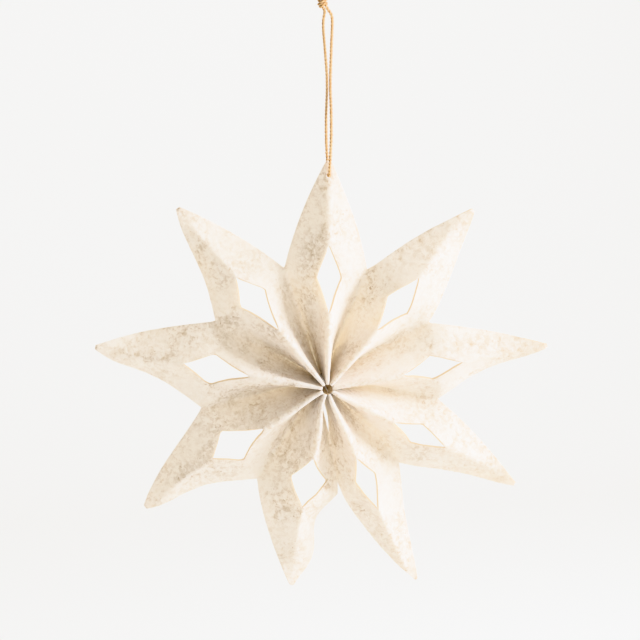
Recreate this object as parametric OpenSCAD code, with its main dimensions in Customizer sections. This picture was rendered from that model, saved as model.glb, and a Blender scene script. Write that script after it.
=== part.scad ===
// Pleated paper star that hangs from a twine loop.
// One strip of felted paper is cut to a zigzag edge, folded into pleats, gathered to a hub by a
// thread and joined into a ring. A loop of twine goes through a hole near the tip of the top point.
// Millimetres, +Z up, the star faces -Y, and the origin is where a hook takes the loop.

/* [Star] */
// Number of points, with one mountain fold each
point_count = 9; // [8:1:11]
// Radius of a tip from the hub's axis
tip_r = 90; // [82:1:100]
// Radius of the notch between two points
notch_r = 47.5; // [44:0.5:54]
// Depth of the pleats, front to back, just beyond the notches
notch_depth = 6.5; // [4:0.5:10]
// How far the tips bend back
tip_back = 4.9; // [0:0.1:12]
// Half the width of a blunt tip, along the sheet
tip_half = 0.8; // [0.5:0.1:2]
// How far the cut edge of a point bows out
edge_bow = 1.6; // [0:0.1:3]
// Length over which a fold opens out flat towards a tip
tip_flat = 16; // [8:0.5:24]
// Turn of the whole star about its hub, clockwise, in degrees
star_turn = 1.4; // [-5:0.1:5]
// How much the points stray from a regular star, where 0 is regular
hand_made = 1; // [0:0.1:1.2]

/* [Sheet] */
// Thickness of the felted paper
sheet_t = 0.8; // [0.5:0.05:1]
// Thickness where the layers are squeezed together at the hub
hub_t = 0.5; // [0.4:0.05:0.75]
// Inside radius of a fold at the hub
fold_inner = 0.1; // [0.08:0.01:0.2]
// Middle radius of a mountain fold at the tip, where the paper is only softly bent
fold_tip = 4; // [1:0.1:5]
// Space between neighbouring folds at the hub
fold_gap = 0.04; // [0.03:0.01:0.2]

/* [Openings] */
// Radius where the lozenge opening on each mountain fold starts
opening_in = 30.5; // [28:0.5:34]
// Radius where the opening is widest
opening_mid = 42.5; // [39:0.5:46]
// Radius where the opening ends
opening_out = 55; // [50:0.5:60]
// Half the width of the opening, along the sheet
opening_half = 6; // [3:0.25:8]
// How far the end of an opening strays from that radius
opening_stray = 2; // [1:0.25:3]

/* [Hub] */
// Radius of the ring of gathering thread
thread_ring_r = 5; // [4.6:0.1:7]
// Diameter of the gathering thread
thread_d = 0.5; // [0.3:0.05:0.8]
// Room round the thread in its slits
thread_room = 0.18; // [0.15:0.01:0.3]
// Radius up to which the joined ends of the strip stand open, from the thread outwards
seam_end = 23; // [18:0.5:27]
// Width of the open seam
seam_gap = 1.4; // [0.6:0.1:2]
// Width of the seam's other open end, at the notch
notch_gap = 2; // [0.5:0.1:3]

/* [Hanging loop] */
// Diameter of the twine
cord_d = 1.2; // [0.8:0.05:1.3]
// Distance of the twine's hole below the tip of the top point
hole_from_tip = 6.1; // [5:0.1:10]
// Half the length of that hole, along the fold
hole_half_l = 1; // [0.95:0.05:2]
// Half the width of that hole, along the sheet
hole_half_w = 0.85; // [0.8:0.05:1.5]
// Height of the knot's wraps
knot_h = 4.4; // [4:0.1:6]
// Length of the loose tails above the knot
tail_l = 6; // [3:0.5:12]

/* [Hidden] */
$fn = 48;

// How each point strays from a regular star, clockwise from the top one
// Turn of its fold about the hub in degrees
turn_of = [0, 0.3, -0.8, 2, 3.5, 10.8, 3.4, 0.6, -0.4];
// Extra reach of its tip
reach_of = [0.8, 2, 2.5, 2.5, 4.5, -2.3, -1.5, 3.5, 3.3];
// Sideways bend of its tip, anticlockwise
sway_of = [0, -0.6, -0.4, -1.8, 3.5, 3.4, 4.2, 0.3, 0.6];
// Backward bend of its tip
lift_of = [0, 0.5, -2, 1, 0, 1.5, 0.5, 0, 0.5];
// How much further it is folded towards its tip
pinch_of = [0, 0.05, 0.15, 0.1, 0.1, 0.1, 0, 0.05, 0];
// Twist of its tip about its fold, over a panel's width
twist_of = [0, 0, 2, 3, 1, -5, 0, 2, 0];
// How much narrower its clockwise and its anticlockwise half curl, midway to the tip
waist_right_of = [0, 0, 0.3, 0.1, 0, 0, 0.15, 0, 0];
waist_left_of = [0, 0, 0, 0, 0.1, 0.1, 0.3, 0.3, 0.25];
// Wave in its anticlockwise half, narrow at first and wide towards the tip
wave_of = [0, 0, 0, 0, 0, 0.33, 0, 0, 0];
// How far its fold opens out flat at the tip, where 1 is all the way
flat_of = [0.1, 0.9, 0.8, 0.8, 0.7, 0.9, 0.7, 0.9, 0.9];
// How far its fold runs off the middle at the tip, clockwise
stray_of = [0, -2, 0, -3, 4, -1, -2.5, -3, -2];
// Extra reach of the notch after it, and how far that notch leans anticlockwise
notch_reach_of = [0.8, 0, -1, -2.2, 0, 1.8, 2.3, 1.8, 1.5];
notch_lean_of = [0, 0, 0, 0, 2, 0, 0, 0, 0];
// How much further out its opening is widest
opening_mid_of = [1.7, 1, 1, 0.5, -0.4, -0.8, 3.4, 2.5, 3.2];
// How much further out its opening ends, as a share of opening_stray
opening_end_of = [1, 0.5, 0, 0, 0, -1, 0, 0.5, 0.5];
// How much wider the clockwise and the anticlockwise half of its opening are
opening_right_of = [0.4, 1.3, 0.4, 0.3, 0.7, 1.2, 1.2, 0, 0.5];
opening_left_of = [-0.8, -0.5, -0.4, -0.8, 0, 5.5, 1.6, 1, 0.5];

// Pleat section, worked out from the fold radii and from the pleats' depth at the notches
panel_count = 2 * point_count;
half_pitch = 90 / point_count;
fold_hub = hub_t / 2 + fold_inner;
hub_r = point_count * (2 * fold_hub + fold_gap) / PI;
// The layers are full thickness, and the folds at their own angles, this far out from the hub
squeeze_l = 14;
settle_l = 16;
squeeze_r = hub_r + squeeze_l;
settle_r = hub_r + settle_l;
solve_steps = 40;

function mix(a, b, f) = a + (b - a) * f;
function clamp(v) = min(1, max(0, v));
function smooth(v) = let (c = clamp(v)) c * c * (3 - 2 * c);
function unit(v) = v / norm(v);
function rad(degrees) = degrees * PI / 180;
function beyond(r) = clamp((r - notch_r) / (tip_r - notch_r));
function fold_r(r) = mix(fold_hub, fold_tip, (r - hub_r) / (tip_r - hub_r));
function chord_at(r) = 2 * r * sin(half_pitch);
function thickness(r) = mix(hub_t, sheet_t, smooth((r - hub_r) / (squeeze_r - hub_r)));

// Fold angle at the notches, found by halving, and the panel's width that follows from it
function notch_error(phi) =
    let (q = fold_r(notch_r))
    2 * q * (1 - cos(phi)) + (chord_at(notch_r) - 2 * q * sin(phi)) * tan(phi) - notch_depth;
function notch_angle(low = 0, high = 80, left = solve_steps) =
    let (phi = (low + high) / 2)
    left == 0 ? phi
    : notch_error(phi) < 0 ? notch_angle(phi, high, left - 1)
    : notch_angle(low, phi, left - 1);
notch_phi = notch_angle();
panel_w = 2 * fold_r(notch_r) * rad(notch_phi)
    + (chord_at(notch_r) - 2 * fold_r(notch_r) * sin(notch_phi)) / cos(notch_phi);

// Fold angle at a radius, which keeps the panel's width and settles gently past the notches
settle = 8;
function eased(r) =
    r < notch_r - settle ? r
    : r > notch_r + settle ? notch_r
    : r - (r - notch_r + settle) ^ 2 / (4 * settle);
function chord_error(r, phi) =
    let (q = fold_r(r))
    2 * q * sin(phi) + (panel_w - 2 * q * rad(phi)) * cos(phi) - chord_at(eased(r));
function fold_angle(r, low = 0, high = 90, left = solve_steps) =
    let (phi = (low + high) / 2)
    left == 0 ? phi
    : chord_error(r, phi) > 0 ? fold_angle(r, phi, high, left - 1)
    : fold_angle(r, low, phi, left - 1);

// Section of a pleat at a radius: [fold radius, fold angle, arc length, chord, depth]
function section(r) =
    let (q = fold_r(r))
    let (phi = fold_angle(r))
    let (arc = q * rad(phi))
    let (flat = panel_w - 2 * arc)
    [q, phi, arc, 2 * q * sin(phi) + flat * cos(phi), 2 * q * (1 - cos(phi)) + flat * sin(phi)];
// Place along the chord and depth behind the mountain fold, at a distance x along the sheet
function along(x, s) =
    x < s[2] ? s[0] * sin(x / s[0] * 180 / PI)
    : x < panel_w - s[2] ? s[0] * sin(s[1]) + (x - s[2]) * cos(s[1])
    : s[3] - s[0] * sin((panel_w - x) / s[0] * 180 / PI);
function behind(x, s) =
    x < s[2] ? s[0] * (1 - cos(x / s[0] * 180 / PI))
    : x < panel_w - s[2] ? s[0] * (1 - cos(s[1])) + (x - s[2]) * sin(s[1])
    : s[4] - s[0] * (1 - cos((panel_w - x) / s[0] * 180 / PI));

// Depth of a mountain fold's crest: it runs back from the hub and levels out at the tip
slope_step = 0.5;
notch_half = section(notch_r)[4] / 2;
notch_slope = (section(notch_r - slope_step)[4] / 2 - notch_half) / slope_step;
function crest(r, s) =
    let (f = beyond(r))
    r < notch_r ? -s[4] / 2
    : -notch_half + notch_slope * (tip_r - notch_r) * (f - f * f / 2) + tip_back * smooth(f);

// Places in the star's own plane, as [x, z] from the hub
function of_point(list, k) =
    let (i = (k + point_count) % point_count)
    hand_made * list[i % len(list)];
function spread(r) = smooth((r - hub_r) / (settle_r - hub_r));
function crest_angle(k, r) = 90 - star_turn - 360 * k / point_count + of_point(turn_of, k) * spread(r);
function grow(r) = (r - hub_r) / (tip_r - hub_r);
function polar(angle, r) = r * [cos(angle), sin(angle)];
function crest_place(k, r) =
    let (a = crest_angle(k, r))
    polar(a, r + of_point(reach_of, k) * grow(r));
function valley_place(k, r) =
    let (a = (crest_angle(k, r) + crest_angle(k + 1, r)) / 2)
    let (f = ((r - hub_r) / (notch_r - hub_r)) ^ 2)
    let (reach = (of_point(reach_of, k) + of_point(reach_of, k + 1)) / 2 * grow(r))
    polar(a, r + reach + of_point(notch_reach_of, k) * f) + polar(a + 90, of_point(notch_lean_of, k) * f);
function bend_place(k, r) =
    crest_place(k, r) + of_point(sway_of, k) * beyond(r) ^ 2 * polar(crest_angle(k, r) + 90, 1);

// The strip's ends meet in the valley after this point and stand apart near the hub and at the notch
seam_point = floor(point_count / 2);
seam_start = opening_mid;
function at_seam(k, side) = side > 0 ? k == seam_point : k == seam_point + 1;
function seam_half(r) =
    let (f = (r - slit_out) / (seam_end - slit_out))
    f < 1 ? seam_gap / 2 * sin(180 * max(f, 0))
    : notch_gap / 2 * clamp((r - seam_start) / (notch_r - seam_start)) * (1 - beyond(r)) ^ 2;

// Middle of the sheet on point k, on its clockwise (1) or anticlockwise (-1) panel. Towards the tip
// the fold strays from the panels' common line, at x = 0, and opens out flat.
wave_least = 0.5;
function sheet_point(k, side, r, x, s) =
    let (f = beyond(r))
    let (inner = min(r, notch_r))
    let (chord = valley_place(side > 0 ? k : k - 1, inner) - crest_place(k, inner))
    let (waist = of_point(side > 0 ? waist_right_of : waist_left_of, k))
    let (wave = side > 0 ? 0 : of_point(wave_of, k) * (wave_least + f))
    let (pinch = of_point(pinch_of, k) * f + waist * sin(180 * f) + wave * sin(360 * f))
    let (flat = clamp(of_point(flat_of, k) * smooth((r - tip_r + tip_flat) / tip_flat)))
    let (stray = of_point(stray_of, k) * f * f)
    let (from_fold = side * x - stray)
    let (run = sign(from_fold) * along(abs(from_fold), s) + sign(stray) * along(abs(stray), s))
    let (drop = behind(abs(from_fold), s) - behind(abs(stray), s))
    let (share = mix(side * run, x, flat) / s[3] * (1 - pinch))
    let (open = at_seam(k, side) ? seam_half(r) * (x / panel_w) ^ 2 : 0)
    let (place = bend_place(k, r) + share * chord - open * unit(chord))
    let (bent = of_point(lift_of, k) + side * of_point(twist_of, k) * share)
    [place.x, crest(r, s) + drop * (1 - flat) * (1 + pinch) + bent * f * f, place.y];

// Half the width of the opening on point k's fold, and the width of a panel, at a radius
hole_r = tip_r - hole_from_tip;
hole_flat_share = 0.55;
hole_flat = hole_half_l * hole_flat_share;
function hole_width(r) = hole_half_w * clamp((hole_half_l - abs(r - hole_r)) / (hole_half_l - hole_flat));
function lozenge_width(k, side, r) =
    let (widest = opening_mid + of_point(opening_mid_of, k))
    let (end = opening_out + of_point(opening_end_of, k) * opening_stray)
    let (half = opening_half + of_point(side > 0 ? opening_right_of : opening_left_of, k))
    half * clamp(min((r - opening_in) / (widest - opening_in), (end - r) / (end - widest)));
function inner_x(k, side, r) = max(lozenge_width(k, side, r), k == 0 ? hole_width(r) : 0);
function outer_x(r) =
    let (f = beyond(r))
    mix(panel_w, tip_half, f) + edge_bow * 4 * f * (1 - f);

// Rows of the sheet by radius, sorted, with a row at each corner of an edge
slit_half = thread_d / 2 + thread_room;
slit_in = thread_ring_r - slit_half;
slit_out = thread_ring_r + slit_half;
row_gap = 0.05;
function sorted(v) =
    len(v) < 2 ? v
    : let (p = v[floor(len(v) / 2)])
    concat(sorted([for (e = v) if (e < p) e]), [for (e = v) if (e == p) e], sorted([for (e = v) if (e > p) e]));
function steps(a, b, n) = [for (i = [1:n]) mix(a, b, i / (n + 1))];
row_marks = sorted(concat(
    [hub_r, slit_in, slit_out], steps(slit_out, seam_end, 3), [seam_end],
    steps(seam_end, opening_in, 1), [opening_in], steps(opening_in, opening_mid, 1),
    [opening_mid], steps(opening_mid, notch_r, 2), [notch_r], steps(notch_r, opening_out - opening_stray, 1),
    [for (share = [-1, 0, 1]) opening_out + share * opening_stray],
    steps(opening_out + opening_stray, hole_r - hole_half_l, 3),
    [hole_r - hole_half_l, hole_r - hole_flat, hole_r + hole_flat, hole_r + hole_half_l],
    steps(hole_r + hole_half_l, tip_r, 1), [tip_r]));
rows = [for (i = [0:len(row_marks) - 1]) if (i == 0 || row_marks[i] - row_marks[i - 1] > row_gap) row_marks[i]];
row_count = len(rows);
sections = [for (r = rows) section(r)];
slit_row = [for (i = [0:row_count - 1]) if (abs(rows[i] - slit_in) < row_gap) i][0];

// Columns across a panel: the fold's two edges, the slit's two sides, the valley's two edges
column_count = 6;
slit_column = 2;
fold_share = 0.25;
flat_share = 1 / 6;
function column_x(k, side, i) =
    let (r = rows[i])
    let (from = inner_x(k, side, r))
    let (to = outer_x(r))
    let (arc = min(sections[i][2], fold_share * (to - from)))
    let (flat = to - from - 2 * arc)
    let (apart = mix(slit_half / flat, flat_share, smooth((r - slit_out) / (seam_end - slit_out))))
    [from, from + arc, from + arc + flat * (0.5 - apart), from + arc + flat * (0.5 + apart), to - arc, to];

// Direction out of the sheet's front, from small steps along the panel and across it
probe = 0.02;
function front(k, side, r, x) =
    let (s_in = section(r - probe))
    let (s_out = section(r + probe))
    let (s = section(r))
    let (out = sheet_point(k, side, r + probe, x, s_out) - sheet_point(k, side, r - probe, x, s_in))
    let (over = sheet_point(k, side, r, x + probe, s) - sheet_point(k, side, r, x - probe, s))
    -side * unit(cross(out, over));

// Which edges are open: the fold of point k, and the valley after point k
edge_tol = 0.01;
function fold_open(k, r) = inner_x(k, 1, r) > edge_tol;
function valley_open(k, r) =
    r > notch_r + edge_tol
    || (k == seam_point && r > slit_out + edge_tol && (r < seam_end - edge_tol || r > seam_start + edge_tol));

// Front and back of the sheet at a row and column of a panel
function sheet_pair(p, i, j) =
    let (k = floor(p / 2))
    let (side = p % 2 == 0 ? -1 : 1)
    let (r = rows[i])
    let (x = column_x(k, side, i)[j])
    let (last = column_count - 1)
    let (next = (k + side + point_count) % point_count)
    let (own = front(k, side, r, x))
    let (other = j == 0 && !fold_open(k, r) ? front(k, -side, r, x)
               : j == last && !valley_open(side > 0 ? k : next, r) ? front(next, -side, r, x)
               : own)
    let (middle = sheet_point(k, side, r, x, sections[i]))
    let (half = unit(own + other) * thickness(r) / 2)
    [middle + half, middle - half];

// Number of a sheet point in the list, where panels that share a fold share its points
function spot(p, i, j, face) =
    let (k = floor(p / 2))
    let (r = rows[i])
    let (before = (k - 1 + point_count) % point_count)
    let (owner = p % 2 == 1 ? p
               : j == 0 && !fold_open(k, r) ? p + 1
               : j == column_count - 1 && !valley_open(before, r) ? 2 * before + 1
               : p)
    ((owner * row_count + i) * column_count + j) * 2 + face;

function flip(v) = [for (i = [len(v) - 1:-1:0]) v[i]];
function halves(q) = [[q[0], q[1], q[2]], [q[0], q[2], q[3]]];
// Front and back triangles of a cell, and the wall on an open edge from (i, j) to (m, n)
function cell(p, i, j) =
    let (ring = [[i, j], [i + 1, j], [i + 1, j + 1], [i, j + 1]])
    let (a = [for (c = ring) spot(p, c[0], c[1], 0)])
    let (b = [for (c = ring) spot(p, c[0], c[1], 1)])
    p % 2 == 1 ? concat(halves(a), halves(flip(b))) : concat(halves(flip(a)), halves(b));
function wall(p, i, j, m, n) =
    let (q = [spot(p, m, n, 0), spot(p, i, j, 0), spot(p, i, j, 1), spot(p, m, n, 1)])
    halves(p % 2 == 1 ? q : flip(q));

module star_sheet() {
    last_row = row_count - 1;
    last = column_count - 1;
    is_slit = function(i, j) i == slit_row && j == slit_column;
    pairs = [for (p = [0:panel_count - 1], i = [0:last_row], j = [0:last]) each sheet_pair(p, i, j)];
    cells = [for (p = [0:panel_count - 1], i = [0:last_row - 1], j = [0:last - 1])
        if (!is_slit(i, j)) each cell(p, i, j)];
    ends = [for (p = [0:panel_count - 1], j = [0:last - 1])
        each concat(wall(p, 0, j + 1, 0, j), wall(p, last_row, j, last_row, j + 1))];
    edges = [for (p = [0:panel_count - 1], i = [0:last_row - 1])
        let (k = floor(p / 2), a = rows[i], b = rows[i + 1])
        let (valley = p % 2 == 1 ? k : (k - 1 + point_count) % point_count)
        each concat(fold_open(k, a) || fold_open(k, b) ? wall(p, i, 0, i + 1, 0) : [],
                    valley_open(valley, a) || valley_open(valley, b) ? wall(p, i + 1, last, i, last) : [])];
    a = slit_row;
    b = slit_column;
    slits = [for (p = [0:panel_count - 1])
        each concat(wall(p, a, b, a, b + 1), wall(p, a + 1, b + 1, a + 1, b),
                    wall(p, a + 1, b, a, b), wall(p, a, b + 1, a + 1, b + 1))];
    color("#F2EADD")
        translate(star_shift)
            polyhedron(pairs, concat(cells, ends, edges, slits), convexity = 12);
}

// The ring of thread runs through one slit in each panel, halfway through the pleats
module gathering_thread() {
    color("#E9DFC8")
        translate(star_shift)
            rotate([90, 0, 0])
                rotate_extrude()
                    translate([thread_ring_r * cos(half_pitch / 2), 0])
                        circle(d = thread_d);
}

// Knot at the top of the loop: where it starts, which way it leans, and its two strands
knot_base = [-1.5, 0, 3.3];
knot_lean = -27;
knot_axis = [sin(knot_lean), 0, cos(knot_lean)];
knot_side = [cos(knot_lean), 0, -sin(knot_lean)];
strand_gap = 0.1;
strand_half = (cord_d + strand_gap) / 2;
neck = 1.2;
function strand_end(side, back) = knot_base + side * strand_half * knot_side - back * knot_axis;

// The twine's route: down in front of the tip, back through its hole, and up behind the tip
hole_place = [0, 0, -64];
front_route = [
    [0.3, 0, 1.7], [1, 0, 0.5], [1.35, 0, -1], [1.4, 0, -3.5], [1.25, 0, -7.5], [1.1, 0, -11.5],
    [0.95, 0, -15.5], [0.8, 0, -20.5], [0.7, 0, -25.5], [0.7, -0.15, -30.5], [0.85, -0.4, -35.5],
    [0.95, -0.7, -40.5], [0.95, -0.95, -45.5], [0.8, -1.15, -50.5], [0.6, -1.3, -55], [0.4, -1.4, -58.5],
    [0.25, -1.45, -61.5], [0.1, -1.2, -63.3]];
bend_route = [[0, 0.05, -64.1]];
back_route = [
    [0, 1.35, -63.3], [-0.05, 1.75, -61.5], [-0.2, 1.75, -58.5], [-0.5, 1.5, -55], [-0.75, 1.1, -50.5],
    [-0.9, 0.75, -45.5], [-0.95, 0.45, -40.5], [-0.8, 0.25, -35.5], [-0.65, 0.15, -30.5], [-0.65, 0, -25.5],
    [-0.9, 0, -20.5], [-1.3, 0, -15.5], [-1.7, 0, -10.5], [-2.1, 0, -5.5], [-2.1, 0, -1.8], [-1.75, 0, 0.4]];
route = concat([for (back = [0, neck / 2, neck]) strand_end(1, back)], front_route, bend_route, back_route,
    [for (back = [neck, neck / 2, 0]) strand_end(-1, back)]);

// The star hangs with its hole on the twine
star_shift = hole_place - sheet_point(0, 1, hole_r, 0, section(hole_r));

// A curve through the route's points, two rings to each stretch
function curve_at(p, i, f) =
    let (a = p[max(i - 1, 0)], b = p[i], c = p[i + 1], d = p[min(i + 2, len(p) - 1)])
    b + f / 2 * ((c - a) + f * ((2 * a - 5 * b + 4 * c - d) + f * (3 * (b - c) + d - a)));
function curve(p) = [for (i = [0:len(p) - 2], f = [0, 0.5]) curve_at(p, i, f)];

module tube(line, d, sides) {
    last = len(line) - 1;
    rings = [for (i = [0:last])
        let (t = unit(line[min(i + 1, last)] - line[max(i - 1, 0)]))
        let (u = unit([1, 0, 0] - t.x * t))
        let (v = cross(t, u))
        for (j = [0:sides - 1]) line[i] + d / 2 * (u * cos(360 * j / sides) + v * sin(360 * j / sides))];
    skin = [for (i = [0:last - 1], j = [0:sides - 1])
        let (n = (j + 1) % sides)
        each halves([i * sides + j, (i + 1) * sides + j, (i + 1) * sides + n, i * sides + n])];
    caps = [[for (j = [0:sides - 1]) j], [for (j = [sides - 1:-1:0]) last * sides + j]];
    polyhedron(rings, concat(skin, caps), convexity = 8);
}

module hanging_cord() {
    line = concat(curve(route), [route[len(route) - 1]]);
    color("#D6A766")
        tube(line, cord_d, 8);
}

// Overhand knot: a bundle of the two strands, wrapped twice, with two loose tails
module cord_knot() {
    bundle_r = strand_half + cord_d / 2;
    wrap_r = bundle_r;
    wrap_tilt = 14;
    tail_splay = 16;
    color("#D6A766")
        translate(knot_base)
            rotate([0, knot_lean, 0]) {
                cylinder(r = bundle_r, h = knot_h);
                for (turn = [0, 1])
                    translate([0, 0, mix(cord_d, knot_h - cord_d, turn)])
                        rotate([0, turn == 0 ? wrap_tilt : -wrap_tilt, 0])
                            rotate_extrude()
                                translate([wrap_r, 0])
                                    circle(d = cord_d);
                for (side = [-1, 1])
                    translate([side * strand_half, 0, knot_h - cord_d])
                        rotate([side * tail_splay / 2, side * tail_splay, 0])
                            cylinder(d = cord_d, h = tail_l + cord_d);
            }
}

star_sheet();
gathering_thread();
hanging_cord();
cord_knot();
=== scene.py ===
"""Looks of a pleated paper star that hangs from a twine loop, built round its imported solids."""
import collections
import functools
import math
import random

import bmesh
import bpy
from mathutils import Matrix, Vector, noise
from mathutils.kdtree import KDTree


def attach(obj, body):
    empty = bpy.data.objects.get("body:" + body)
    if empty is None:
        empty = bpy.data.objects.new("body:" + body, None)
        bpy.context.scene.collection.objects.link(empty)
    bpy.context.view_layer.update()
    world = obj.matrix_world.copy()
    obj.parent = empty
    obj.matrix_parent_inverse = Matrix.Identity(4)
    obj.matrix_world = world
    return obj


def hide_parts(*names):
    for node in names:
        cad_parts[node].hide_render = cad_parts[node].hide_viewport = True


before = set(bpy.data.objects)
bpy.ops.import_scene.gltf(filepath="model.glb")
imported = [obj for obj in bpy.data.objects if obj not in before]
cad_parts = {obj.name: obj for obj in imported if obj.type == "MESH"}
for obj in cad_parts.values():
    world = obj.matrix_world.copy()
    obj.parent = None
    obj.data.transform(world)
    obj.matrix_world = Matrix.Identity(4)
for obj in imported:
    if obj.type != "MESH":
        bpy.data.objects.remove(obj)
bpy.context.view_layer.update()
MM = 0.001

# The star's sizes in millimetres and its angles in degrees, as in its solid
POINTS = 9
TIP_R = 90.0
NOTCH_R = 47.5
NOTCH_DEPTH = 6.5
TIP_BACK = 4.9
TIP_HALF = 0.8
EDGE_BOW = 1.6
TIP_FLAT = 16.0
STAR_TURN = 1.4
SHEET_T = 0.8
HUB_T = 0.5
SQUEEZE_L = 14.0
FOLD_INNER = 0.1
FOLD_TIP = 4.0
FOLD_GAP = 0.04
OPENING_IN = 30.5
OPENING_MID = 42.5
OPENING_OUT = 55.0
OPENING_HALF = 6.0
OPENING_STRAY = 2.0
THREAD_RING_R = 5.0
SLIT_HALF = 0.43
SEAM_END = 23.0
SEAM_GAP = 1.4
NOTCH_GAP = 2.0
CORD_D = 1.2
STRAND_GAP = 0.1
HOLE_FROM_TIP = 6.1
HOLE_HALF_L = 1.0
HOLE_HALF_W = 0.85
HOLE_FLAT_SHARE = 0.55
HOLE_PLACE = Vector((0, 0, -64))
KNOT_H = 4.4
TAIL_L = 6.0
TURN_SETTLE = 16.0
WIDTH_SETTLE = 8.0

# How each point strays from a regular star, clockwise from the top one: turns in degrees, reaches, sways,
# lifts, twists and the fold's stray at the tip in millimetres, and pinches, waists, waves and flats as shares
TURN_OF = (0, 0.3, -0.8, 2, 3.5, 10.8, 3.4, 0.6, -0.4)
REACH_OF = (0.8, 2, 2.5, 2.5, 4.5, -2.3, -1.5, 3.5, 3.3)
SWAY_OF = (0, -0.6, -0.4, -1.8, 3.5, 3.4, 4.2, 0.3, 0.6)
LIFT_OF = (0, 0.5, -2, 1, 0, 1.5, 0.5, 0, 0.5)
PINCH_OF = (0, 0.05, 0.15, 0.1, 0.1, 0.1, 0, 0.05, 0)
TWIST_OF = (0, 0, 2, 3, 1, -5, 0, 2, 0)
WAIST_RIGHT_OF = (0, 0, 0.3, 0.1, 0, 0, 0.15, 0, 0)
WAIST_LEFT_OF = (0, 0, 0, 0, 0.1, 0.1, 0.3, 0.3, 0.25)
WAVE_OF = (0, 0, 0, 0, 0, 0.33, 0, 0, 0)
FLAT_OF = (0.1, 0.9, 0.8, 0.8, 0.7, 0.9, 0.7, 0.9, 0.9)
STRAY_OF = (0, -2, 0, -3, 4, -1, -2.5, -3, -2)
# How each notch and each opening strays, in millimetres, and an opening's end as a share of its named stray
NOTCH_REACH_OF = (0.8, 0, -1, -2.2, 0, 1.8, 2.3, 1.8, 1.5)
NOTCH_LEAN_OF = (0, 0, 0, 0, 2, 0, 0, 0, 0)
OPENING_MID_OF = (1.7, 1, 1, 0.5, -0.4, -0.8, 3.4, 2.5, 3.2)
OPENING_END_OF = (1, 0.5, 0, 0, 0, -1, 0, 0.5, 0.5)
OPENING_RIGHT_OF = (0.4, 1.3, 0.4, 0.3, 0.7, 1.2, 1.2, 0, 0.5)
OPENING_LEFT_OF = (-0.8, -0.5, -0.4, -0.8, 0, 5.5, 1.6, 1, 0.5)


def linear(code):
    """Linear colour of an sRGB hex value."""
    parts = [int(code[i:i + 2], 16) / 255 for i in (1, 3, 5)]
    return (*[c / 12.92 if c <= 0.04045 else ((c + 0.055) / 1.055) ** 2.4 for c in parts], 1.0)


# Sockets of a Mix node for colours, whose names its other kinds share
MIX_SHARE = 0
MIX_FIRST = 6
MIX_SECOND = 7
MIX_RESULT = 2


def add(material, kind, inputs=None, **settings):
    """Adds a node. An input given as a socket is linked, and any other is a value."""
    made = material.node_tree.nodes.new(kind)
    for name, value in settings.items():
        setattr(made, name, value)
    for key, value in (inputs or {}).items():
        if isinstance(value, bpy.types.NodeSocket):
            material.node_tree.links.new(value, made.inputs[key])
        else:
            made.inputs[key].default_value = value
    return made


def new_material(name):
    """An empty node material and its output node."""
    material = bpy.data.materials.new(name)
    material.use_nodes = True
    material.node_tree.nodes.clear()
    return material, add(material, "ShaderNodeOutputMaterial")


def shown(name, mesh, *materials):
    """Puts a mesh in the scene as an object at the origin."""
    piece = bpy.data.objects.new(name, mesh)
    bpy.context.scene.collection.objects.link(piece)
    for material in materials:
        mesh.materials.append(material)
    return piece


# Camera at the photograph's viewing angle, worked out for a square picture of 640 pixels
PICTURE = 640
PIXEL = 0.0004
CAMERA_AZIMUTH = math.radians(-7.5)
CAMERA_HEIGHT = math.radians(14)
CAMERA_FAR = 1.2
HUB_PLACE = Vector((-0.00204, -0.0143, -0.148))
HUB_PIXEL = (328, 389)
SENSOR_W = 36

camera = bpy.data.objects.new("camera", bpy.data.cameras.new("camera"))
bpy.context.scene.collection.objects.link(camera)
bpy.context.scene.camera = camera
towards = Vector((math.sin(CAMERA_AZIMUTH) * math.cos(CAMERA_HEIGHT),
                  -math.cos(CAMERA_AZIMUTH) * math.cos(CAMERA_HEIGHT),
                  math.sin(CAMERA_HEIGHT)))
facing = (-towards).to_track_quat("-Z", "Y")
camera.rotation_euler = facing.to_euler()
camera.location = HUB_PLACE + towards * CAMERA_FAR + facing @ Vector((
    (PICTURE / 2 - HUB_PIXEL[0]) * PIXEL, (HUB_PIXEL[1] - PICTURE / 2) * PIXEL, 0))
camera.data.sensor_width = SENSOR_W
camera.data.lens = SENSOR_W * CAMERA_FAR / (PICTURE * PIXEL)


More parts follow.
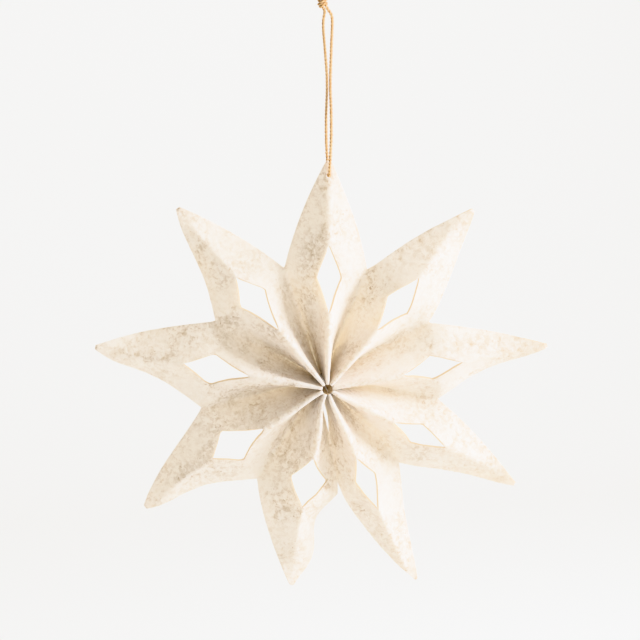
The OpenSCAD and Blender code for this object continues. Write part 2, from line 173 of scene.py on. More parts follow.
# Two-ply cotton twine, dyed golden: matt, with a soft sheen from loose fibres, and painted shade that darkens
# the grooves between the plies. Its fibres are drawn coarser than they are, so that they show
def twine_material():
    material, output = new_material("golden_cotton_twine")
    place = add(material, "ShaderNodeTexCoord").outputs["Object"]
    yarn = add(material, "ShaderNodeTexNoise", {"Vector": place, "Scale": 1 / (1.1 * MM), "Detail": 3.0})
    fibre = add(material, "ShaderNodeTexNoise", {"Vector": place, "Scale": 1 / (0.25 * MM), "Detail": 2.0})
    shade = add(material, "ShaderNodeMapRange", {
        "Value": yarn.outputs["Fac"], "From Min": 0.35, "From Max": 0.65},
        interpolation_type="SMOOTHSTEP")
    body = add(material, "ShaderNodeMix", {
        MIX_SHARE: shade.outputs["Result"], MIX_FIRST: linear("#CE9C5C"), MIX_SECOND: linear("#EBC68E")},
        data_type="RGBA")
    light = add(material, "ShaderNodeMapRange", {
        "Value": fibre.outputs["Fac"], "From Min": 0.5, "From Max": 0.75, "To Max": 0.5})
    fibrous = add(material, "ShaderNodeMix", {
        MIX_SHARE: light.outputs["Result"], MIX_FIRST: body.outputs[MIX_RESULT],
        MIX_SECOND: linear("#F7E2BC")}, data_type="RGBA")
    outward = add(material, "ShaderNodeAttribute", attribute_name="outward")
    open_to_light = add(material, "ShaderNodeMapRange", {
        "Value": outward.outputs["Fac"], "From Min": 0.35, "From Max": 0.85},
        interpolation_type="SMOOTHSTEP")
    # Painted shade: where the plies face into the grooves between them, the colour goes to a deep brown
    colour = add(material, "ShaderNodeMix", {
        MIX_SHARE: open_to_light.outputs["Result"], MIX_FIRST: linear("#8A5A26"),
        MIX_SECOND: fibrous.outputs[MIX_RESULT]}, data_type="RGBA")
    bump = add(material, "ShaderNodeBump", {
        "Height": fibre.outputs["Fac"], "Strength": 0.5, "Distance": 0.1 * MM})
    surface = add(material, "ShaderNodeBsdfPrincipled", {
        "Base Color": colour.outputs[MIX_RESULT], "Roughness": 0.85, "Specular IOR Level": 0.25,
        "Sheen Weight": 0.25, "Sheen Roughness": 0.5, "Sheen Tint": linear("#FFF0D8"),
        "Normal": bump.outputs["Normal"]})
    material.node_tree.links.new(surface.outputs["BSDF"], output.inputs["Surface"])
    return material


twine = twine_material()

# The twine's route in millimetres: down in front of the tip, through its hole and up behind it
KNOT_BASE = Vector((-1.5, 0, 3.3))
KNOT_LEAN = math.radians(-27)
KNOT_AXIS = Vector((math.sin(KNOT_LEAN), 0, math.cos(KNOT_LEAN)))
KNOT_SIDE = Vector((math.cos(KNOT_LEAN), 0, -math.sin(KNOT_LEAN)))
STRAND_HALF = (CORD_D + STRAND_GAP) / 2
NECK = 1.2
LINE_STEP = 0.2
FRONT_ROUTE = (
    (0.3, 0, 1.7), (1, 0, 0.5), (1.35, 0, -1), (1.4, 0, -3.5), (1.25, 0, -7.5), (1.1, 0, -11.5),
    (0.95, 0, -15.5), (0.8, 0, -20.5), (0.7, 0, -25.5), (0.7, -0.15, -30.5), (0.85, -0.4, -35.5),
    (0.95, -0.7, -40.5), (0.95, -0.95, -45.5), (0.8, -1.15, -50.5), (0.6, -1.3, -55), (0.4, -1.4, -58.5),
    (0.25, -1.45, -61.5), (0.1, -1.2, -63.3))
BEND_ROUTE = ((0, 0.05, -64.1),)
BACK_ROUTE = (
    (0, 1.35, -63.3), (-0.05, 1.75, -61.5), (-0.2, 1.75, -58.5), (-0.5, 1.5, -55), (-0.75, 1.1, -50.5),
    (-0.9, 0.75, -45.5), (-0.95, 0.45, -40.5), (-0.8, 0.25, -35.5), (-0.65, 0.15, -30.5), (-0.65, 0, -25.5),
    (-0.9, 0, -20.5), (-1.3, 0, -15.5), (-1.7, 0, -10.5), (-2.1, 0, -5.5), (-2.1, 0, -1.8), (-1.75, 0, 0.4))


def in_knot(side, across, up):
    """A point of the knot: along its two strands' plane, from front to back, and along its lean."""
    return KNOT_BASE + side * KNOT_SIDE + Vector((0, across, 0)) + up * KNOT_AXIS


def smooth_line(points, step):
    """Points about a step apart on a curve through the given ones."""
    points = [Vector(p) for p in points]
    line = []
    for i in range(len(points) - 1):
        a = points[max(i - 1, 0)]
        b = points[i]
        c = points[i + 1]
        d = points[min(i + 2, len(points) - 1)]
        count = max(1, round((c - b).length / step))
        for j in range(count):
            f = j / count
            bend = (2 * a - 5 * b + 4 * c - d) + f * (3 * (b - c) + d - a)
            line.append(b + f / 2 * ((c - a) + f * bend))
    line.append(points[-1])
    return line


def thin_tubes(name, lines, radius, sides=8):
    """A mesh of round tubes along lines in millimetres."""
    data = bpy.data.curves.new(name, "CURVE")
    data.dimensions = "3D"
    data.bevel_depth = 1.0
    data.bevel_resolution = sides // 2 - 2
    data.use_fill_caps = True
    for line in lines:
        spline = data.splines.new("POLY")
        spline.points.add(len(line) - 1)
        for point, place in zip(spline.points, line):
            point.co = (*(place * MM), 1)
            point.radius = radius * MM
    made = bpy.data.objects.new(name, data)
    bpy.context.scene.collection.objects.link(made)
    mesh = bpy.data.meshes.new_from_object(made.evaluated_get(bpy.context.evaluated_depsgraph_get()))
    bpy.data.objects.remove(made)
    bpy.data.curves.remove(data)
    mesh.materials.clear()
    mesh.shade_smooth()
    return mesh


PLY_R = 0.29
PLY_OFF = 0.33
TWIST_PITCH = 2.9
# A direction that the twine never quite runs in
ASKEW = Vector((0.2, 1, 0.1))


def plies(line):
    """The two plies that wind round a line."""
    turn = 0.0
    pair = ([], [])
    for i, place in enumerate(line):
        ahead = (line[min(i + 1, len(line) - 1)] - line[max(i - 1, 0)]).normalized()
        across = (ASKEW - ASKEW.dot(ahead) * ahead).normalized()
        over = ahead.cross(across)
        if i:
            turn += (place - line[i - 1]).length / TWIST_PITCH * 2 * math.pi
        for ply, half in zip(pair, (0, math.pi)):
            ply.append(place + PLY_OFF * (math.cos(turn + half) * across + math.sin(turn + half) * over))
    return pair


def mark_outward(mesh, lines):
    """Notes how far each point of the plies lies out from the twine's middle, for the shade painted into the
    grooves.
    """
    middles = [place for line in lines for place in line]
    near = KDTree(len(middles))
    for i, place in enumerate(middles):
        near.insert(place, i)
    near.balance()
    far = [near.find(v.co / MM)[2] / (PLY_R + PLY_OFF) for v in mesh.vertices]
    mesh.attributes.new("outward", "FLOAT", "POINT").data.foreach_set("value", far)


HAIR_COUNT = 150
HAIR_SEED = 3
HAIR_R = 0.025
HAIR_SIDES = 4
HAIR_LONGEST = 1.3
HAIR_LEAST = 0.4
HAIR_ROOT = 0.45
HAIR_RISE = 0.5
HAIR_ARC = 1.5
HAIR_POINTS = (0, 0.3, 0.6, 1)


def hairs(line):
    """Loose fibres that stand off a line of twine, drawn thick enough to show."""
    draw = random.Random(HAIR_SEED)
    made = []
    for _ in range(HAIR_COUNT):
        i = draw.randrange(1, len(line) - 1)
        ahead = (line[i + 1] - line[i - 1]).normalized()
        out = Vector([draw.gauss(0, 1) for _ in range(3)])
        out = (out - out.dot(ahead) * ahead).normalized()
        lean = draw.choice((-1, 1)) * ahead
        length = draw.uniform(HAIR_LEAST, 1) * HAIR_LONGEST
        made.append([line[i] + out * (HAIR_ROOT + length * HAIR_RISE * math.sin(HAIR_ARC * f))
                     + lean * length * f for f in HAIR_POINTS])
    return made


route = [in_knot(STRAND_HALF, 0, -back) for back in (0, NECK / 2, NECK)]
route += [*FRONT_ROUTE, *BEND_ROUTE, *BACK_ROUTE]
route += [in_knot(-STRAND_HALF, 0, -back) for back in (NECK, NECK / 2, 0)]
twine_line = smooth_line(route, LINE_STEP)
loop_mesh = thin_tubes("hanging_loop", plies(twine_line), PLY_R)
mark_outward(loop_mesh, [twine_line])
loop = shown("hanging_loop", loop_mesh, twine)
fuzz_mesh = thin_tubes("twine_fuzz", hairs(twine_line), HAIR_R, HAIR_SIDES)
mark_outward(fuzz_mesh, [twine_line])
fuzz = shown("twine_fuzz", fuzz_mesh, twine)

# Overhand knot: the strands run through it, the twine winds twice round them, and two tails stand out
WRAP_TURNS = 2.25
WRAP_STEPS = 90
WRAP_START = 0.6
WRAP_LOW = 0.9
WRAP_TILT = 0.3
WRAP_NARROW = 0.86
WRAP_SIDE = (STRAND_HALF + CORD_D) * WRAP_NARROW
WRAP_ACROSS = CORD_D
WRAP_FROM = 0.4
WRAP_TO = KNOT_H - 0.3
STRANDS_INSIDE = (0, 1.5, 3, KNOT_H)
TAIL_ROUTE = ((0.35, 1.5), (0.95, 3.2), (1.7, 4.8), (2.3, TAIL_L))
TAIL_ASIDE = 0.4
wrap = [in_knot(STRAND_HALF, 0, WRAP_FROM)]
for step in range(WRAP_STEPS + 1):
    angle = 2 * math.pi * WRAP_TURNS * step / WRAP_STEPS + WRAP_START
    rise = WRAP_LOW + (KNOT_H - 2 * WRAP_LOW) * step / WRAP_STEPS + WRAP_TILT * math.cos(angle)
    wrap.append(in_knot(WRAP_SIDE * math.cos(angle), WRAP_ACROSS * math.sin(angle), rise))
wrap.append(in_knot(-STRAND_HALF, 0, WRAP_TO))
tails = []
for side in (-1, 1):
    tails.append([in_knot(side * STRAND_HALF, 0, rise) for rise in STRANDS_INSIDE]
                 + [in_knot(side * (STRAND_HALF + out), -side * TAIL_ASIDE * out, KNOT_H + rise)
                    for out, rise in TAIL_ROUTE])
knot_lines = [smooth_line(line, LINE_STEP) for line in (wrap, *tails)]
knot_mesh = thin_tubes("cord_knot", [ply for line in knot_lines for ply in plies(line)], PLY_R)
mark_outward(knot_mesh, knot_lines)
knot = shown("knot", knot_mesh, twine)

for piece, node in ((loop, "hanging_cord"), (knot, "cord_knot")):
    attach(piece, "root")
    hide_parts(node)
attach(fuzz, "root")


# The pleats: how the flat strip is folded at each radius, as in the solid
def mix(a, b, f):
    """The value a share of the way from one to the other."""
    return a + (b - a) * f


def clamp(v):
    """A value kept between nought and one."""
    return min(1.0, max(0.0, v))


def smooth(v):
    """A value kept between nought and one, and eased at both ends."""
    c = clamp(v)
    return c * c * (3 - 2 * c)


HALF_PITCH = math.pi / 2 / POINTS
FOLD_HUB = HUB_T / 2 + FOLD_INNER
HUB_R = POINTS * (2 * FOLD_HUB + FOLD_GAP) / math.pi
HOLE_R = TIP_R - HOLE_FROM_TIP
HOLE_FLAT = HOLE_HALF_L * HOLE_FLAT_SHARE
SEAM_POINT = POINTS // 2
SLIT_IN = THREAD_RING_R - SLIT_HALF
SLIT_OUT = THREAD_RING_R + SLIT_HALF


def beyond(r):
    """Share of the way from the notches to the tips."""
    return clamp((r - NOTCH_R) / (TIP_R - NOTCH_R))


def fold_r(r):
    """Middle radius of a fold, which grows softer from the hub to the tip."""
    return mix(FOLD_HUB, FOLD_TIP, (r - HUB_R) / (TIP_R - HUB_R))


def chord_at(r):
    """Straight distance from a mountain fold to the next valley fold of a regular star."""
    return 2 * r * math.sin(HALF_PITCH)


HALVINGS = 40


def halved(error, low, high):
    """Where an error that grows with its argument is nought."""
    for _ in range(HALVINGS):
        middle = (low + high) / 2
        if error(middle) < 0:
            low = middle
        else:
            high = middle
    return (low + high) / 2


NOTCH_FOLD = fold_r(NOTCH_R)
STEEPEST = math.radians(80)


def notch_flat(phi):
    """Width that the flat of a panel covers at the notches, for an angle of its folds."""
    return chord_at(NOTCH_R) - 2 * NOTCH_FOLD * math.sin(phi)


# A panel is as wide as it has to be for the pleats to have their depth at the notches
notch_phi = halved(lambda phi: 2 * NOTCH_FOLD * (1 - math.cos(phi)) - NOTCH_DEPTH
                   + notch_flat(phi) * math.tan(phi), 0, STEEPEST)
PANEL_W = 2 * NOTCH_FOLD * notch_phi + notch_flat(notch_phi) / math.cos(notch_phi)


def eased(r):
    """The radius that a pleat has its width from, which stops growing at the notches."""
    if r < NOTCH_R - WIDTH_SETTLE:
        return r
    if r > NOTCH_R + WIDTH_SETTLE:
        return NOTCH_R
    return r - (r - NOTCH_R + WIDTH_SETTLE) ** 2 / (4 * WIDTH_SETTLE)


Section = collections.namedtuple("Section", "fold phi arc chord depth")


@functools.cache
def section(r):
    """Fold radius, fold angle, arc length, chord and depth of a pleat at a radius."""
    q = fold_r(r)
    phi = halved(lambda p: chord_at(eased(r)) - 2 * q * math.sin(p) - (PANEL_W - 2 * q * p) * math.cos(p),
                 0, math.pi / 2)
    flat = PANEL_W - 2 * q * phi
    return Section(q, phi, q * phi, 2 * q * math.sin(phi) + flat * math.cos(phi),
                   2 * q * (1 - math.cos(phi)) + flat * math.sin(phi))


def along(x, s):
    """How far a place on a panel lies along its chord."""
    q, phi, arc, chord, _ = s
    if x < arc:
        return q * math.sin(x / q)
    if x < PANEL_W - arc:
        return q * math.sin(phi) + (x - arc) * math.cos(phi)
    return chord - q * math.sin((PANEL_W - x) / q)


def behind(x, s):
    """How far a place on a panel lies behind its mountain fold."""
    q, phi, arc, _, depth = s
    if x < arc:
        return q * (1 - math.cos(x / q))
    if x < PANEL_W - arc:
        return q * (1 - math.cos(phi)) + (x - arc) * math.sin(phi)
    return depth - q * (1 - math.cos((PANEL_W - x) / q))


SLOPE_STEP = 0.5
NOTCH_HALF = section(NOTCH_R).depth / 2
NOTCH_SLOPE = (section(NOTCH_R - SLOPE_STEP).depth / 2 - NOTCH_HALF) / SLOPE_STEP


def crest(r, s):
    """Place of a mountain fold, front to back."""
    f = beyond(r)
    if r < NOTCH_R:
        return -s.depth / 2
    return -NOTCH_HALF + NOTCH_SLOPE * (TIP_R - NOTCH_R) * (f - f * f / 2) + TIP_BACK * smooth(f)


def polar(angle, r):
    """A point at an angle and a distance from the hub, seen from the front."""
    return Vector((r * math.cos(angle), r * math.sin(angle)))


def crest_angle(k, r):
    """Direction of a mountain fold, which is regular at the hub."""
    settled = smooth((r - HUB_R) / TURN_SETTLE)
    return math.radians(90 - STAR_TURN - 360 * k / POINTS + TURN_OF[k % POINTS] * settled)


def grown(reach, r):
    """A radius stretched by what its point reaches beyond the others."""
    return r + reach * (r - HUB_R) / (TIP_R - HUB_R)


def crest_place(k, r):
    """A place on the mountain fold of point k."""
    return polar(crest_angle(k, r), grown(REACH_OF[k % POINTS], r))


def valley_place(k, r):
    """A place on the valley fold between point k and the next one clockwise."""
    reach = (REACH_OF[k % POINTS] + REACH_OF[(k + 1) % POINTS]) / 2
    angle = (crest_angle(k, r) + crest_angle(k + 1, r)) / 2
    f = ((r - HUB_R) / (NOTCH_R - HUB_R)) ** 2
    return (polar(angle, grown(reach, r) + NOTCH_REACH_OF[k % POINTS] * f)
            + polar(angle + math.pi / 2, NOTCH_LEAN_OF[k % POINTS] * f))


def seam_half(r):
    """Half the gap between the joined ends of the strip."""
    f = (r - SLIT_OUT) / (SEAM_END - SLIT_OUT)
    if f < 1:
        return SEAM_GAP / 2 * math.sin(math.pi * max(f, 0))
    return NOTCH_GAP / 2 * clamp((r - OPENING_MID) / (NOTCH_R - OPENING_MID)) * (1 - beyond(r)) ** 2


# Share of its wave that a waved edge has at the notch, to which the way to the tip adds
WAVE_LEAST = 0.5


def sheet_point(k, side, r, x):
    """Middle of the sheet on point k, on its clockwise (1) or anticlockwise (-1) panel."""
    s = section(r)
    f = beyond(r)
    inner = min(r, NOTCH_R)
    chord = valley_place(k if side > 0 else k - 1, inner) - crest_place(k, inner)
    waist = (WAIST_RIGHT_OF if side > 0 else WAIST_LEFT_OF)[k]
    wave = 0 if side > 0 else WAVE_OF[k] * (WAVE_LEAST + f)
    pinch = PINCH_OF[k] * f + waist * math.sin(math.pi * f) + wave * math.sin(2 * math.pi * f)
    flat = FLAT_OF[k] * smooth((r - TIP_R + TIP_FLAT) / TIP_FLAT)
    stray = STRAY_OF[k] * f * f
    from_fold = side * x - stray
    run = math.copysign(along(abs(from_fold), s), from_fold) + math.copysign(along(abs(stray), s), stray)
    drop = behind(abs(from_fold), s) - behind(abs(stray), s)
    share = mix(side * run, x, flat) / s.chord * (1 - pinch)
    at_seam = k == (SEAM_POINT if side > 0 else SEAM_POINT + 1)
    opened = seam_half(r) * (x / PANEL_W) ** 2 if at_seam else 0
    bend = SWAY_OF[k] * f * f * polar(crest_angle(k, r) + math.pi / 2, 1)
    place = crest_place(k, r) + bend + share * chord - opened * chord.normalized()
    bent = LIFT_OF[k] + side * TWIST_OF[k] * share
    return Vector((place.x, crest(r, s) + drop * (1 - flat) * (1 + pinch) + bent * f * f, place.y))


def inner_x(k, side, r):
    """Where a panel starts: at its mountain fold, its lozenge or the twine's hole."""
    widest = OPENING_MID + OPENING_MID_OF[k]
    end = OPENING_OUT + OPENING_END_OF[k] * OPENING_STRAY
    half = OPENING_HALF + (OPENING_RIGHT_OF if side > 0 else OPENING_LEFT_OF)[k]
    lozenge = min((r - OPENING_IN) / (widest - OPENING_IN), (end - r) / (end - widest))
    hole = (HOLE_HALF_L - abs(r - HOLE_R)) / (HOLE_HALF_L - HOLE_FLAT) if k == 0 else 0
    return max(half * clamp(lozenge), HOLE_HALF_W * clamp(hole))


def outer_x(r):
    """Where a panel ends: at its valley fold or the cut edge of its point."""
    f = beyond(r)
    return mix(PANEL_W, TIP_HALF, f) + EDGE_BOW * 4 * f * (1 - f)


# Rows about a millimetre apart, with one at each corner of an edge
ROW_MARKS = (
    HUB_R, SLIT_IN, SLIT_OUT, SEAM_END, OPENING_IN, OPENING_MID, NOTCH_R,
    OPENING_OUT - OPENING_STRAY, OPENING_OUT, OPENING_OUT + OPENING_STRAY,
    HOLE_R - HOLE_HALF_L, HOLE_R - HOLE_FLAT, HOLE_R + HOLE_FLAT, HOLE_R + HOLE_HALF_L, TIP_R)
ROW_STEP = 1.05
ROWS = [HUB_R]
for low, high in zip(ROW_MARKS, ROW_MARKS[1:]):
    count = 1 if low == SLIT_IN else max(1, round((high - low) / ROW_STEP))
    ROWS += [mix(low, high, (i + 1) / count) for i in range(count)]
ROW_CELLS = len(ROWS) - 1
SLIT_ROW = ROWS.index(SLIT_IN)
# Cells across a panel's mountain fold, its flat, the stretch with the slit, its flat and its valley fold
CELLS = (4, 5, 4, 5, 4)
COLUMNS = sum(CELLS)
SLIT_COLUMNS = range(sum(CELLS[:2]), sum(CELLS[:3]))
# A fold takes at most so much of a row, and the stretch with the slit so much of the flat to each side
FOLD_MOST = 0.25
MIDDLE_SHARE = 1 / 6


def column_places(k, side, r):
    """Distances along the sheet of a row's points, from the mountain fold to the valley fold."""
    start = inner_x(k, side, r)
    end = outer_x(r)
    arc = min(section(r).arc, FOLD_MOST * (end - start))
    flat = end - start - 2 * arc
    apart = mix(SLIT_HALF / flat, MIDDLE_SHARE, smooth((r - SLIT_OUT) / (SEAM_END - SLIT_OUT)))
    marks = (start, start + arc, start + arc + flat * (0.5 - apart), start + arc + flat * (0.5 + apart),
             end - arc, end)
    places = [start]
    for count, low, high in zip(CELLS, marks, marks[1:]):
        places += [mix(low, high, (i + 1) / count) for i in range(count)]
    return places


star_shift = HOLE_PLACE - sheet_point(0, 1, HOLE_R, 0)
WELD = 0.002


def folded_sheet():
    """The strip as one skin: a grid for each panel, folded to its place, joined along the folds."""
    bm = bmesh.new()
    for k in range(POINTS):
        for side in (-1, 1):
            places = [column_places(k, side, r) for r in ROWS]
            panel = bmesh.ops.create_grid(
                bm, x_segments=COLUMNS, y_segments=ROW_CELLS, size=0.5)["verts"]
            faces = list({f for v in panel for f in v.link_faces})
            slit = []
            for face in faces:
                middle = face.calc_center_median()
                column = math.floor((middle.x + 0.5) * COLUMNS)
                row = math.floor((middle.y + 0.5) * ROW_CELLS)
                if row == SLIT_ROW and column in SLIT_COLUMNS:
                    slit.append(face)
            for v in panel:
                row = round((v.co.y + 0.5) * ROW_CELLS)
                x = places[row][round((v.co.x + 0.5) * COLUMNS)]
                v.co = (sheet_point(k, side, ROWS[row], x) + star_shift) * MM
            if side < 0:
                bmesh.ops.reverse_faces(bm, faces=faces)
            bmesh.ops.delete(bm, geom=slit, context="FACES")
    bmesh.ops.remove_doubles(bm, verts=bm.verts, dist=WELD * MM)
    bmesh.ops.recalc_face_normals(bm, faces=bm.faces)
    if sum(f.normal.y * f.calc_area() for f in bm.faces) > 0:
        bmesh.ops.reverse_faces(bm, faces=bm.faces)
    return bm


# Hand-made felt is never flat: broad waves from handling and small lumps from the fibres
WAVE_LENGTH = 26.0
WAVE_HIGH = 0.55
LUMP_LENGTH = 3.2
LUMP_HIGH = 0.13
LUMP_FADE = 0.8
LUMP_FINER = 2.0
LUMP_LAYERS = 3
LOOSE_FROM = 9.0
LOOSE_OVER = 26.0


def from_hub(v):
    """Distance of a point of the sheet from the hub, seen from the front."""
    return math.hypot(v.co.x / MM - star_shift.x, v.co.z / MM - star_shift.z)


def roughen(bm):
    """Moves the sheet out and in by its waves and lumps, and leaves it as it is near the hub."""
    bm.normal_update()
    moves = []
    for v in bm.verts:
        place = v.co / MM
        loose = smooth((from_hub(v) - LOOSE_FROM) / LOOSE_OVER)
        wave = WAVE_HIGH * noise.noise(place / WAVE_LENGTH)
        lump = LUMP_HIGH * noise.fractal(place / LUMP_LENGTH, LUMP_FADE, LUMP_FINER, LUMP_LAYERS)
        moves.append(v.normal * loose * (wave + lump) * MM)
    for v, move in zip(bm.verts, moves):
        v.co += move


# Share of the light that soaks through a face of the paper
SOAKED = 0.43


# Felted paper of bleached plant fibre: matt, off-white with a fine beige grain, brown flecks of bark in
# loose clusters, a fuzz that catches light at an edge, and light that soaks through the thin sheet. Its
# fuzz is drawn coarser than it is, so that it shows
def felted_paper():
    material, output = new_material("felted_plant_fibre_paper")
    place = add(material, "ShaderNodeTexCoord").outputs["Object"]
    cloud = add(material, "ShaderNodeTexNoise", {
        "Vector": place, "Scale": 1 / (12 * MM), "Detail": 4.0, "Roughness": 0.6})
    grain = add(material, "ShaderNodeTexNoise", {
        "Vector": place, "Scale": 1 / (1.9 * MM), "Detail": 6.0, "Roughness": 0.72, "Distortion": 0.5})
    fleck = add(material, "ShaderNodeTexNoise", {
        "Vector": place, "Scale": 1 / (1.3 * MM), "Detail": 3.0, "Roughness": 0.6, "Distortion": 0.8})
    fuzz_grain = add(material, "ShaderNodeTexNoise", {
        "Vector": place, "Scale": 1 / (0.7 * MM), "Detail": 4.0, "Roughness": 0.65, "Distortion": 0.8})
    cloudy = add(material, "ShaderNodeMapRange", {
        "Value": cloud.outputs["Fac"], "From Min": 0.32, "From Max": 0.68, "To Min": 0.25},
        interpolation_type="SMOOTHSTEP")
    stain = add(material, "ShaderNodeMapRange", {
        "Value": grain.outputs["Fac"], "From Min": 0.42, "From Max": 0.7})
    amount = add(material, "ShaderNodeMath", {
        0: stain.outputs["Result"], 1: cloudy.outputs["Result"]}, operation="MULTIPLY")
    speck = add(material, "ShaderNodeMapRange", {
        "Value": fleck.outputs["Fac"], "From Min": 0.58, "From Max": 0.74},
        interpolation_type="SMOOTHSTEP")
    specks = add(material, "ShaderNodeMath", {
        0: speck.outputs["Result"], 1: cloudy.outputs["Result"]}, operation="MULTIPLY")
    stained = add(material, "ShaderNodeMix", {
        MIX_SHARE: amount.outputs["Value"], MIX_FIRST: linear("#FFFFFF"), MIX_SECOND: linear("#947B56")},
        data_type="RGBA")
    specked = add(material, "ShaderNodeMix", {
        MIX_SHARE: specks.outputs["Value"], MIX_FIRST: stained.outputs[MIX_RESULT],
        MIX_SECOND: linear("#86643A")}, data_type="RGBA")
    relief = add(material, "ShaderNodeMath", {
        0: grain.outputs["Fac"], 1: fuzz_grain.outputs["Fac"]}, operation="ADD")
    bump = add(material, "ShaderNodeBump", {
        "Height": relief.outputs["Value"], "Strength": 0.3, "Distance": 0.2 * MM})
    surface = add(material, "ShaderNodeBsdfPrincipled", {
        "Base Color": specked.outputs[MIX_RESULT], "Roughness": 0.95, "Specular IOR Level": 0.1,
        "Sheen Weight": 0.1, "Sheen Roughness": 0.7, "Normal": bump.outputs["Normal"]})
    soaked = add(material, "ShaderNodeBsdfTranslucent", {
        "Color": linear("#FFF2DC"), "Normal": bump.outputs["Normal"]})
    mixed = add(material, "ShaderNodeMixShader", {
        0: SOAKED, 1: surface.outputs["BSDF"], 2: soaked.outputs["BSDF"]})
    material.node_tree.links.new(mixed.outputs["Shader"], output.inputs["Surface"])
    return material


# Cut edge of the same paper: the knife lays the inner fibres bare, which are browner than the face
def cut_edge():
    material, output = new_material("felted_paper_cut_edge")
    place = add(material, "ShaderNodeTexCoord").outputs["Object"]
    fibre = add(material, "ShaderNodeTexNoise", {"Vector": place, "Scale": 1 / (1.2 * MM), "Detail": 4.0})
    colour = add(material, "ShaderNodeMix", {
        MIX_SHARE: fibre.outputs["Fac"], MIX_FIRST: linear("#FBF0DC"), MIX_SECOND: linear("#EEDAB6")},
        data_type="RGBA")
    bump = add(material, "ShaderNodeBump", {
        "Height": fibre.outputs["Fac"], "Strength": 0.5, "Distance": 0.2 * MM})
    surface = add(material, "ShaderNodeBsdfPrincipled", {
        "Base Color": colour.outputs[MIX_RESULT], "Roughness": 0.95, "Specular IOR Level": 0.1,
        "Normal": bump.outputs["Normal"]})
    soaked = add(material, "ShaderNodeBsdfTranslucent", {"Color": linear("#FFE9C8")})
    mixed = add(material, "ShaderNodeMixShader", {
        0: SOAKED, 1: surface.outputs["BSDF"], 2: soaked.outputs["BSDF"]})
    material.node_tree.links.new(mixed.outputs["Shader"], output.inputs["Surface"])
    return material


sheet_bm = folded_sheet()
flat_area = sum(f.calc_area() for f in sheet_bm.faces)
roughen(sheet_bm)
sheet_mesh = bpy.data.meshes.new("pleated_star")
sheet_bm.to_mesh(sheet_mesh)
sheet_bm.free()
sheet_mesh.shade_smooth()
star = shown("pleated_star", sheet_mesh, felted_paper(), cut_edge())
# At the hub the squeezed layers swell until they touch
HUB_SWELL = 0.16
hub_share = (HUB_T + HUB_SWELL) / SHEET_T
thin_at_hub = star.vertex_groups.new(name="thickness")
for v in sheet_mesh.vertices:
    released = smooth((from_hub(v) - HUB_R) / SQUEEZE_L)
    thin_at_hub.add([v.index], mix(hub_share, 1.0, released), "REPLACE")
wall = star.modifiers.new("thickness", "SOLIDIFY")
wall.thickness = SHEET_T * MM
wall.offset = 0
wall.vertex_group = thin_at_hub.name
wall.material_offset_rim = 1
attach(star, "root")
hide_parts("star_sheet")


# Cotton gathering thread: off-white and matt
def thread_material():
    material, output = new_material("cotton_thread")
    place = add(material, "ShaderNodeTexCoord").outputs["Object"]
    twist = add(material, "ShaderNodeTexNoise", {"Vector": place, "Scale": 1 / (0.4 * MM), "Detail": 2.0})
    colour = add(material, "ShaderNodeMix", {
        MIX_SHARE: twist.outputs["Fac"], MIX_FIRST: linear("#F0E7D4"), MIX_SECOND: linear("#D8C8A8")},
        data_type="RGBA")
    bump = add(material, "ShaderNodeBump", {
        "Height": twist.outputs["Fac"], "Strength": 0.5, "Distance": 0.08 * MM})
    surface = add(material, "ShaderNodeBsdfPrincipled", {
        "Base Color": colour.outputs[MIX_RESULT], "Roughness": 0.85, "Specular IOR Level": 0.25,
        "Normal": bump.outputs["Normal"]})
    material.node_tree.links.new(surface.outputs["BSDF"], output.inputs["Surface"])
    return material


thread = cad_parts["gathering_thread"]
thread.data.materials.clear()
thread.data.materials.append(thread_material())

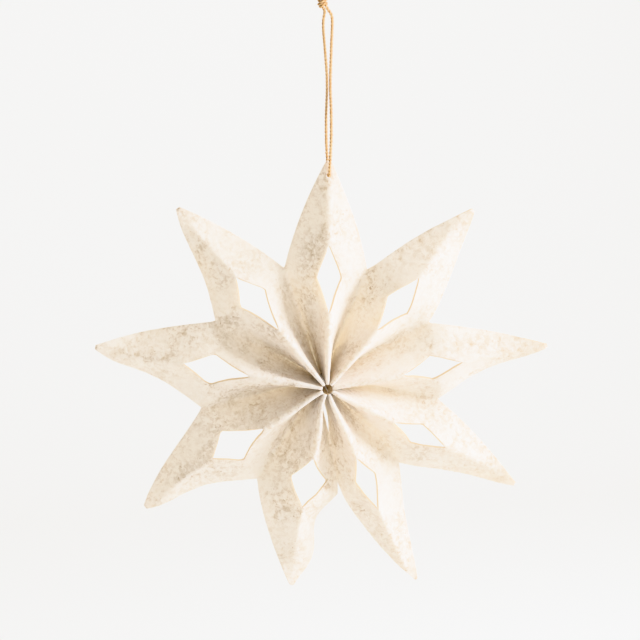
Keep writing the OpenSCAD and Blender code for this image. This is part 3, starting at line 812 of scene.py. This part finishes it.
# Plain pale floor that sweeps up into a wall, well behind and below the star
FLOOR_Z = -0.62
WALL_Y = 1.8
SWEEP_R = 0.5
SWEEP_STEPS = 24
STAGE_HALF = 4.0
STAGE_FRONT = 3.0
WALL_H = 3.0
stage_bm = bmesh.new()
front_ends = [stage_bm.verts.new((x, -STAGE_FRONT, FLOOR_Z)) for x in (-STAGE_HALF, STAGE_HALF)]
edge = stage_bm.edges.new(front_ends)
strip = bmesh.ops.extrude_edge_only(stage_bm, edges=[edge])["geom"]
bmesh.ops.translate(stage_bm, verts=[g for g in strip if isinstance(g, bmesh.types.BMVert)],
                    vec=(0, WALL_Y - SWEEP_R + STAGE_FRONT, 0))
sweep = bmesh.ops.spin(stage_bm, geom=[g for g in strip if not isinstance(g, bmesh.types.BMFace)],
                       cent=(0, WALL_Y - SWEEP_R, FLOOR_Z + SWEEP_R), axis=(1, 0, 0),
                       angle=math.pi / 2, steps=SWEEP_STEPS)["geom_last"]
top = bmesh.ops.extrude_edge_only(
    stage_bm, edges=[g for g in sweep if isinstance(g, bmesh.types.BMEdge)])["geom"]
bmesh.ops.translate(stage_bm, verts=[g for g in top if isinstance(g, bmesh.types.BMVert)],
                    vec=(0, 0, WALL_H))
bmesh.ops.recalc_face_normals(stage_bm, faces=stage_bm.faces)
stage_mesh = bpy.data.meshes.new("backdrop")
stage_bm.to_mesh(stage_mesh)
stage_bm.free()
stage_mesh.shade_smooth()
plaster, plaster_out = new_material("white_backdrop")
plaster_surface = add(plaster, "ShaderNodeBsdfPrincipled", {
    "Base Color": linear("#F7F5F2"), "Roughness": 0.9, "Specular IOR Level": 0.1})
plaster.node_tree.links.new(plaster_surface.outputs["BSDF"], plaster_out.inputs["Surface"])
backdrop = shown("backdrop", stage_mesh, plaster)


def soft_light(name, place, target, size, power, colour):
    """A square area light that faces a target."""
    lamp = bpy.data.lights.new(name, "AREA")
    lamp.size = size
    lamp.energy = power
    lamp.color = colour
    made = bpy.data.objects.new(name, lamp)
    made.location = place
    made.rotation_euler = (Vector(target) - Vector(place)).to_track_quat("-Z", "Y").to_euler()
    bpy.context.scene.collection.objects.link(made)


STAR_MIDDLE = (0, 0, -0.15)
KEY_PLACE = (1.0, -0.12, 0.2)
KEY_SIZE = 0.5
KEY_POWER = 52
KEY_COLOUR = (0.87, 0.92, 1.0)
ROOM_COLOUR = linear("#FEFCF8")
ROOM_STRENGTH = 0.7
soft_light("key", KEY_PLACE, STAR_MIDDLE, KEY_SIZE, KEY_POWER, KEY_COLOUR)
world = bpy.data.worlds.new("soft_room")
bpy.context.scene.world = world
world.use_nodes = True
world.node_tree.nodes["Background"].inputs["Color"].default_value = ROOM_COLOUR
world.node_tree.nodes["Background"].inputs["Strength"].default_value = ROOM_STRENGTH
bpy.context.scene.view_settings.view_transform = "Khronos PBR Neutral"
